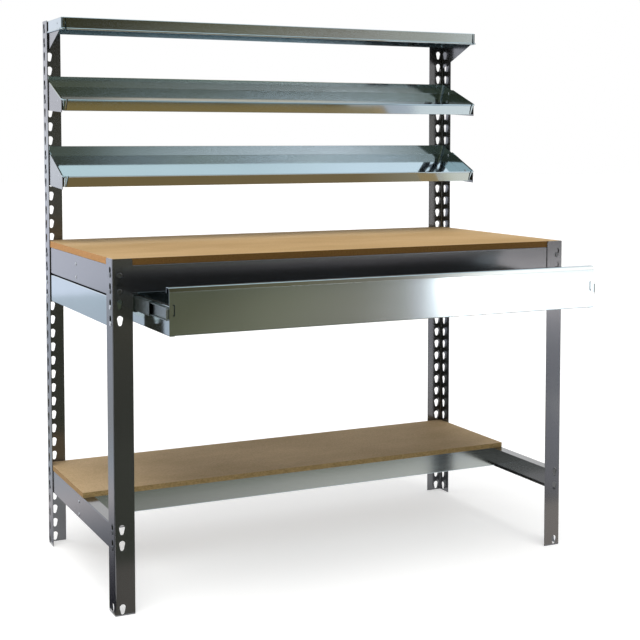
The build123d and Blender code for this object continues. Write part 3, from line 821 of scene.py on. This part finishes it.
def drawerSideSheet(setup, side):
    face, top, bottom = setup["sideFace"], setup["sideTop"], setup["sideBottom"]
    hem, drop = setup["sideHem"]
    bm = drawnSheet({
        "along": "Y",
        "span": setup["sideSpan"],
        "corners": ((face + hem, top - drop), (face + hem, top), (face, top), (face, bottom),
                    (face + setup["sideFoot"], bottom)),
        "bends": setup["sideBends"],
        "sheet": setup["sheet"],
        "outward": (-1, 0, 0),
    }, side)
    addTab(bm, sideTab["middle"], sideTab["size"], side)
    return bm


def drawerBackSheet(setup):
    low, high = setup["backHeights"]
    face = setup["sideSpan"][1]
    return drawnSheet({
        "along": "X",
        "span": (-setup["backHalf"], setup["backHalf"]),
        "corners": ((face, low), (face, high), (face - setup["sideFoot"], high)),
        "bends": setup["backBends"],
        "sheet": setup["sheet"],
        "outward": (0, 1, 0),
    })


finishPiece("drawerFrontPan", drawerFrontSheet(drawerSetup), galvanised, "drawer_front")
for hand, side in hands.items():
    finishPiece("drawerSideFolded" + hand.capitalize(), drawerSideSheet(drawerSetup, side), galvanisedDepthwise,
                "drawer_side_" + hand)
finishPiece("drawerBackFolded", drawerBackSheet(drawerSetup), galvanised, "drawer_back")
print("drawer folded")


# telescopic slides: rolled channels with hooked edges, and cages with their balls
slideSetup = {
    "centre": 0.7387,
    "outer": {"web": -0.5847, "reach": 0.0115, "half": 0.0215, "hook": 0.0022, "span": (-0.2064, 0.2936), "facing": 1},
    "middle": {"web": -0.5825, "reach": 0.0085, "half": 0.0175, "hook": 0.0014, "span": (-0.3159, 0.1841), "facing": 1},
    "inner": {"web": -0.572, "reach": 0.0081, "half": 0.0140, "hook": 0, "span": (-0.4254, 0.0746), "facing": -1},
    "sheet": 0.0012,
    "bends": (0.0028, 0.0028),
    "hookedBends": (0.0034, 0.0034),
    "hookRounding": 0.6,      # share of the hook's height
    "stop": {"middle": (-0.5764, -0.4247), "size": (0.0066, 0.0012, 0.022)},    # turned out at the inner member's front
}


def addSlide(kind, hand, setup):
    member, centre = setup[kind], setup["centre"]
    web, facing, half, hook = member["web"], member["facing"], member["half"], member["hook"]
    edge = web + facing * member["reach"]
    corners = [(edge, half), (web, half), (web, -half), (edge, -half)]
    bends = setup["bends"]
    if hook:
        corners = [(edge, half - hook)] + corners + [(edge, hook - half)]
        rounding = hook * setup["hookRounding"]
        bends = (rounding, *setup["hookedBends"], rounding)
    channel = {
        "along": "Y",
        "span": member["span"],
        "corners": [(across, centre + up) for across, up in corners],
        "bends": bends,
        "sheet": setup["sheet"],
        "outward": (-facing, 0, 0),
    }
    bm = drawnSheet(channel, hands[hand])
    if kind == "inner":
        addTab(bm, (*setup["stop"]["middle"], centre), setup["stop"]["size"], hands[hand])
    finishPiece("slide" + kind.capitalize() + hand.capitalize() + "Rolled", bm, slideZinc,
                "slide_" + kind + "_" + hand)


cageSetup = {
    "outer": {"middle": -0.01115, "half": 0.0189, "strip": 0.0010, "ball": 0.00135},
    "inner": {"middle": -0.12065, "half": 0.01515, "strip": 0.0009, "ball": 0.00112},
    "length": 0.180,
    "across": 0.577,
    "width": 0.0050,
    "rounding": 0.002,
    "roundingSteps": 3,
    "balls": 12,
    "ballSides": (8, 6),
}


def addCage(kind, hand, setup):
    cage, across = setup[kind], hands[hand] * setup["across"]
    heights = [slideSetup["centre"] + sign * cage["half"] for sign in (-1, 1)]
    around, upward = setup["ballSides"]
    bm = bmesh.new()
    for height in heights:
        strip = bmesh.ops.create_grid(bm, x_segments=1, y_segments=1, size=0.5)["verts"]
        bmesh.ops.scale(bm, vec=(setup["width"], setup["length"], 1), verts=strip)
        bend(bm, strip, setup["rounding"], setup["roundingSteps"], "VERTICES")
        loose = [vert for vert in bm.verts if same(vert.co.z, 0)]
        moveBy(bm, loose, (across, cage["middle"], height + cage["strip"] / 2))
    thicken(bm, (0, 0, 1), cage["strip"])
    for height in heights:
        for count in range(setup["balls"]):
            along = cage["middle"] + setup["length"] * ((count + 0.5) / setup["balls"] - 0.5)
            bmesh.ops.create_uvsphere(bm, u_segments=around, v_segments=upward, radius=cage["ball"],
                                      matrix=Matrix.Translation((across, along, height)))
    finishPiece(kind + "BallCage" + hand.capitalize() + "Strips", bm, cageSteel, kind + "_ball_cage_" + hand)


for hand in hands:
    for kind in ("outer", "middle", "inner"):
        addSlide(kind, hand, slideSetup)
    for kind in ("outer", "inner"):
        addCage(kind, hand, cageSetup)
print("slides rolled, cages filled")


studioSetup = {
    "floorHalf": 30.0,
    "floorLevel": -0.0005,
    "floorSurface": {"Base Color": (0.70, 0.70, 0.70, 1), "Roughness": 0.9, "Specular IOR Level": 0.1},
    "floorLift": 0.52,
    "skyLevel": 0.40,
}


def seenDirectly(tree):
    path = tree.nodes.new("ShaderNodeLightPath")
    last = path.outputs["Is Camera Ray"]
    for kind in ("Is Glossy Ray", "Is Transmission Ray"):
        larger = tree.nodes.new("ShaderNodeMath")
        larger.operation = "MAXIMUM"
        tree.links.new(last, larger.inputs[0])
        tree.links.new(path.outputs[kind], larger.inputs[1])
        last = larger.outputs[0]
    return last


def addStagePiece(name, corners):
    bm = bmesh.new()
    bm.faces.new([bm.verts.new(corner) for corner in corners])
    piece = addObject(name, meshFrom(bm, name))
    return piece


def addFloor(setup):
    half, level = setup["floorHalf"], setup["floorLevel"]
    floor = addStagePiece("studioFloor", ((-half, -half, level), (half, -half, level), (half, half, level),
                                          (-half, half, level)))
    material, tree, surface = startMaterial("studioFloor")[:3]
    setInputs(surface, setup["floorSurface"])
    lift = tree.nodes.new("ShaderNodeEmission")
    tree.links.new(between(tree, seenDirectly(tree), 0.0, setup["floorLift"]), lift.inputs["Strength"])
    joined = tree.nodes.new("ShaderNodeAddShader")
    tree.links.new(surface.outputs[0], joined.inputs[0])
    tree.links.new(lift.outputs[0], joined.inputs[1])
    tree.links.new(joined.outputs[0], tree.nodes["Material Output"].inputs["Surface"])
    floor.data.materials.append(material)


def addSky(setup):
    world = bpy.data.worlds.new("studio")
    bpy.context.scene.world = world
    world.use_nodes = True
    background = world.node_tree.nodes["Background"]
    setInputs(background, {"Color": (1, 1, 1, 1)})
    level = between(world.node_tree, seenDirectly(world.node_tree), setup["skyLevel"], 1.0)
    world.node_tree.links.new(level, background.inputs["Strength"])


lampSetup = {
    "overheadSoftbox": {"kind": "SUN", "from": (-0.22, -0.42, 1.0), "angle": 50, "power": 2.0,
                        "colour": (1.0, 0.99, 0.97)},
    "leftSoftbox": {"kind": "AREA", "place": (-3.9, 3.4, 1.5), "aim": (-0.4, 0.1, 0.7), "size": 2.8, "power": 60,
                    "colour": (0.95, 0.97, 1.0)},
    "rightSoftbox": {"kind": "AREA", "place": (4.3, -5.7, 0.5), "aim": (0.4, 0.0, 0.7), "size": 1.5, "power": 14,
                     "colour": (1.0, 0.99, 0.98)},
}


def addLamp(name, setup):
    data = bpy.data.lights.new(name, setup["kind"])
    data.energy = setup["power"]
    data.color = setup["colour"]
    lamp = addObject(name, data)
    if setup["kind"] == "SUN":
        data.angle = math.radians(setup["angle"])
        direction = -Vector(setup["from"])
    else:
        data.size = setup["size"]
        lamp.location = setup["place"]
        direction = Vector(setup["aim"]) - Vector(setup["place"])
    lamp.rotation_euler = direction.to_track_quat("-Z", "Y").to_euler()
    lamp.visible_camera = False
    lamp.visible_glossy = False    # the steel reflects the cards instead


# cards round and on the bench that only the steel's reflections see; their glowing gradients are painted reflections:
# glow at places along one axis, X if none is named
def flatCard(height, *corners):
    return [(across, along, height) for across, along in corners]


def uprightCard(along, low, high, left=-9.0, right=9.0):
    return (left, along, low), (right, along, low), (right, along, high), (left, along, high)


cardSetup = {
    # cards lying on the worktop, browner and darker than the board: a painted shade in the board's reflection
    "worktopPaintedReflectionFront": {
        "corners": flatCard(0.8446, (-0.63, -0.205), (0.585, -0.205), (0.6, -0.04), (-0.63, -0.04)),
        "stops": ((-0.6, (0.34, 0.23, 0.08)), (0.3, (0.42, 0.285, 0.12)), (0.52, (0.46, 0.33, 0.17))),
    },
    "worktopPaintedReflectionRear": {
        "corners": flatCard(0.8446, (-0.63, -0.04), (0.56, -0.04), (0.57, 0.2), (-0.63, 0.2)),
        "stops": ((-0.6, (0.3, 0.195, 0.08)), (0.35, (0.33, 0.22, 0.11)), (0.56, (0.45, 0.36, 0.24))),
    },
    # card on the floor under the bench's front, darker towards the left end: a painted reflection of shade
    "underBenchPaintedReflection": {
        "corners": flatCard(0.003, (-0.66, -0.56), (1.28, -0.56), (1.1, -0.19), (-0.66, -0.19)),
        "stops": (
            (-0.66, (0.28, 0.26, 0.215)), (-0.24, (0.46, 0.41, 0.36)), (0.26, (0.71, 0.64, 0.57)),
            (0.9, (0.95, 0.86, 0.77))),
    },
    "nearFloorCard": {
        "corners": flatCard(0.003, (-3.0, -1.9), (1.75, -1.9), (1.28, -0.56), (-3.0, -0.56)),
        "stops": (
            (-0.6, (0.11, 0.125, 0.085)), (0.75, (0.24, 0.23, 0.17)), (1.0, (0.66, 0.66, 0.7)),
            (1.5, (0.72, 0.73, 0.8))),
    },
    "farFloorCard": {
        "corners": flatCard(0.002, (-9.0, -4.1), (2.75, -4.1), (1.75, -1.9), (-9.0, -1.9)),
        "stops": ((0.0, (0.105, 0.112, 0.078)), (2.0, (0.2, 0.2, 0.16))),
    },
    "rightFloorCard": {
        "corners": flatCard(0.002, (2.75, -4.1), (9.0, -4.1), (9.0, -1.9), (1.75, -1.9)),
        "stops": ((2.4, (0.72, 0.74, 0.82)), (6.0, (0.7, 0.72, 0.8))),
    },
    "besideLegCard": {
        "corners": flatCard(0.003, (1.28, -0.85), (1.6, -0.85), (1.6, -0.35), (1.28, -0.35)), "level": 1.15,
        "stops": (
            (1.28, (0.43, 0.34, 0.25)), (1.33, (0.86, 0.78, 0.62)), (1.37, (1.0, 0.92, 0.8)),
            (1.6, (1.0, 0.92, 0.8))),
    },
    "drawerGlowCard": {
        "corners": flatCard(0.002, (-9.0, -6.7), (9.0, -7.3), (9.0, -4.1), (-9.0, -4.1)),
        "level": 6.5, "slant": 0.57,
        "stops": (
            (-1.84, (0.0265, 0.0247, 0.015)), (-1.19, (0.049, 0.045, 0.031)), (-0.56, (0.064, 0.056, 0.045)),
            (-0.22, (0.098, 0.088, 0.08)), (0.0, (0.19, 0.18, 0.19)), (0.16, (0.95, 0.93, 0.93)),
            (0.5, (0.52, 0.5, 0.5)), (0.92, (0.43, 0.41, 0.41)), (2.5, (0.41, 0.39, 0.39))),
    },
    "beamGlowCard": {
        "corners": flatCard(0.002, (-9.0, -9.0), (9.0, -9.0), (9.0, -7.3), (-9.0, -6.7)),
        "stops": (
            (1.0, (0.09, 0.11, 0.07)), (4.8, (0.1, 0.12, 0.1)), (5.1, (0.92, 0.92, 1.0)), (5.32, (0.92, 0.92, 1.0)),
            (5.5, (0.06, 0.07, 0.08))),
    },
    "wallCardToKnee": {
        "corners": uprightCard(-9.0, 0.0, 0.4),
        "stops": (
            (2.0, (0.24, 0.22, 0.13)), (3.1, (0.22, 0.2, 0.13)), (4.2, (0.25, 0.24, 0.17)), (5.8, (0.4, 0.37, 0.29))),
    },
    "wallCardToWaist": {
        "corners": uprightCard(-9.0, 0.4, 1.1), "level": 2.5,
        "stops": (
            (2.0, (0.1, 0.1, 0.08)), (2.7, (0.44, 0.44, 0.43)), (4.0, (0.8, 0.76, 0.77)), (5.0, (1.0, 0.92, 0.94)),
            (6.0, (0.34, 0.34, 0.33))),
    },
    "wallCardToEye": {
        "corners": uprightCard(-9.0, 1.1, 1.7),
        "stops": (
            (1.9, (0.12, 0.115, 0.05)), (3.7, (0.1, 0.1, 0.045)), (4.85, (0.1, 0.1, 0.055)),
            (5.7, (0.38, 0.37, 0.26)), (6.1, (0.31, 0.31, 0.22))),
    },
    "wallCardToReach": {
        "corners": uprightCard(-9.0, 1.7, 1.98), "level": 3.2,
        "stops": (
            (1.9, (0.07, 0.07, 0.06)), (2.7, (0.33, 0.34, 0.36)), (3.4, (0.42, 0.43, 0.41)),
            (4.07, (0.62, 0.62, 0.66)), (4.7, (0.9, 0.88, 0.89)), (5.64, (0.66, 0.66, 0.72)),
            (6.1, (0.28, 0.29, 0.3))),
    },
    "wallCardToCeiling": {
        "corners": uprightCard(-9.0, 1.98, 6.5),
        "stops": (
            (2.2, (0.07, 0.06, 0.03)), (3.76, (0.23, 0.2, 0.12)), (4.8, (0.33, 0.28, 0.22)),
            (6.07, (0.62, 0.58, 0.49)), (6.5, (0.95, 0.9, 0.85))),
    },
    "topBandCard": {
        "corners": uprightCard(-8.98, 2.9, 3.5, left=5.0), "level": 2.4,
        "stops": (
            (5.0, (0.14, 0.12, 0.1)), (5.5, (0.44, 0.4, 0.37)), (6.1, (1.0, 0.9, 0.84)), (9.0, (1.0, 0.9, 0.84))),
    },
    "highBackCard": {
        "corners": ((-9.0, 6.0, 2.6), (9.0, 6.0, 3.6), (9.0, 6.0, 5.2), (-9.0, 6.0, 5.2)),
        "stops": ((3.2, (0.085, 0.098, 0.07)), (6.0, (0.28, 0.3, 0.29))),
    },
    "middleBackCard": {
        "corners": uprightCard(6.0, 5.2, 5.6), "level": 3.0,
        "stops": (
            (1.9, (0.26, 0.24, 0.18)), (2.54, (0.5, 0.46, 0.35)), (3.3, (0.74, 0.64, 0.51)),
            (3.78, (0.95, 0.78, 0.66)), (4.1, (0.66, 0.56, 0.5)), (4.4, (0.42, 0.36, 0.29)),
            (4.8, (0.22, 0.2, 0.17))),
    },
    "upperBackCard": {
        "corners": ((-9.0, 6.0, 5.6), (9.0, 6.0, 5.6), (9.0, 6.0, 7.3), (-9.0, 6.0, 7.1)),
        "stops": (
            (1.5, (0.3, 0.28, 0.25)), (2.1, (0.8, 0.69, 0.57)), (3.5, (0.78, 0.7, 0.57)), (4.3, (0.58, 0.63, 0.66)),
            (4.9, (0.3, 0.33, 0.34))),
    },
    "ceilingCard": {
        "corners": flatCard(9.6, (-14.0, -9.0), (14.0, -9.0), (14.0, 14.0), (-14.0, 14.0)), "level": 1.42,
        "stops": ((2.0, (0.66, 0.78, 0.81)), (4.6, (0.6, 0.71, 0.76)), (6.0, (0.76, 0.86, 0.94))),
    },
    "leftBackCard": {
        "corners": uprightCard(6.0, 0.0, 2.5, right=-0.9), "axis": "Z", "level": 1.6,
        "stops": (
            (0.0, (0.61, 0.645, 0.75)), (0.55, (0.64, 0.66, 0.75)), (0.93, (0.82, 0.87, 0.94)),
            (1.3, (0.68, 0.69, 0.75)), (2.5, (0.69, 0.7, 0.75))),
    },
    "leftFloorCard": {
        "corners": flatCard(0.003, (-9.0, -0.3), (-0.638, -0.3), (-0.638, 6.0), (-9.0, 6.0)), "axis": "Y",
        "stops": (
            (-0.1, (0.03, 0.03, 0.04)), (0.13, (0.12, 0.12, 0.14)), (0.45, (0.36, 0.37, 0.41)),
            (0.78, (0.78, 0.75, 0.78)), (1.2, (0.62, 0.68, 0.76)), (1.75, (0.57, 0.6, 0.64)),
            (3.3, (0.6, 0.64, 0.74)), (5.5, (0.64, 0.71, 0.8))),
    },
    "rearFloorCard": {
        "corners": flatCard(0.004, (-0.6, 0.45), (5.0, 0.45), (5.0, 4.5), (-0.6, 4.5)),
        "stops": ((-0.6, (0.1, 0.11, 0.08)), (1.6, (0.7, 0.74, 0.74))),
    },
    "leftWallCard": {
        "corners": ((-9.0, -8.0, 1.2), (-9.0, 3.0, 1.2), (-9.0, 3.0, 4.5), (-9.0, -8.0, 4.5)), "axis": "Y",
        "stops": ((-8.0, (0.07, 0.08, 0.07)), (3.0, (0.07, 0.08, 0.07))),
    },
    "rightWallCard": {
        "corners": ((9.0, -6.0, 0.0), (9.0, 9.0, 0.0), (9.0, 9.0, 4.5), (9.0, -6.0, 4.5)), "axis": "Y",
        "stops": ((-6.0, (0.1, 0.11, 0.1)), (9.0, (0.1, 0.11, 0.1))),
    },
}


def addCard(name, setup):
    card = addStagePiece(name, setup["corners"])
    material, tree, _, place = startMaterial(name)
    split = tree.nodes.new("ShaderNodeSeparateXYZ")
    tree.links.new(place, split.inputs["Vector"])
    first, last = setup["stops"][0][0], setup["stops"][-1][0]
    place = split.outputs[setup.get("axis", "X")]
    if "slant" in setup:    # the gradient's lines lean across the card
        lean = tree.nodes.new("ShaderNodeMath")
        lean.operation = "MULTIPLY_ADD"
        tree.links.new(split.outputs["Y"], lean.inputs[0])
        lean.inputs[1].default_value = setup["slant"]
        tree.links.new(place, lean.inputs[2])
        place = lean.outputs[0]
    along = between(tree, place, 0.0, 1.0, first, last)
    shares = [((at - first) / (last - first), colour) for at, colour in setup["stops"]]
    glow = tree.nodes.new("ShaderNodeEmission")
    setInputs(glow, {"Strength": setup.get("level", 1.0)})
    tree.links.new(ramp(tree, along, shares), glow.inputs["Color"])
    tree.links.new(glow.outputs[0], tree.nodes["Material Output"].inputs["Surface"])
    card.data.materials.append(material)
    card.visible_camera = False
    card.visible_diffuse = False
    card.visible_shadow = False
    card.visible_transmission = False


addFloor(studioSetup)
addSky(studioSetup)
for lampName, setup in lampSetup.items():
    addLamp(lampName, setup)
for cardName, setup in cardSetup.items():
    addCard(cardName, setup)
print("studio lit")
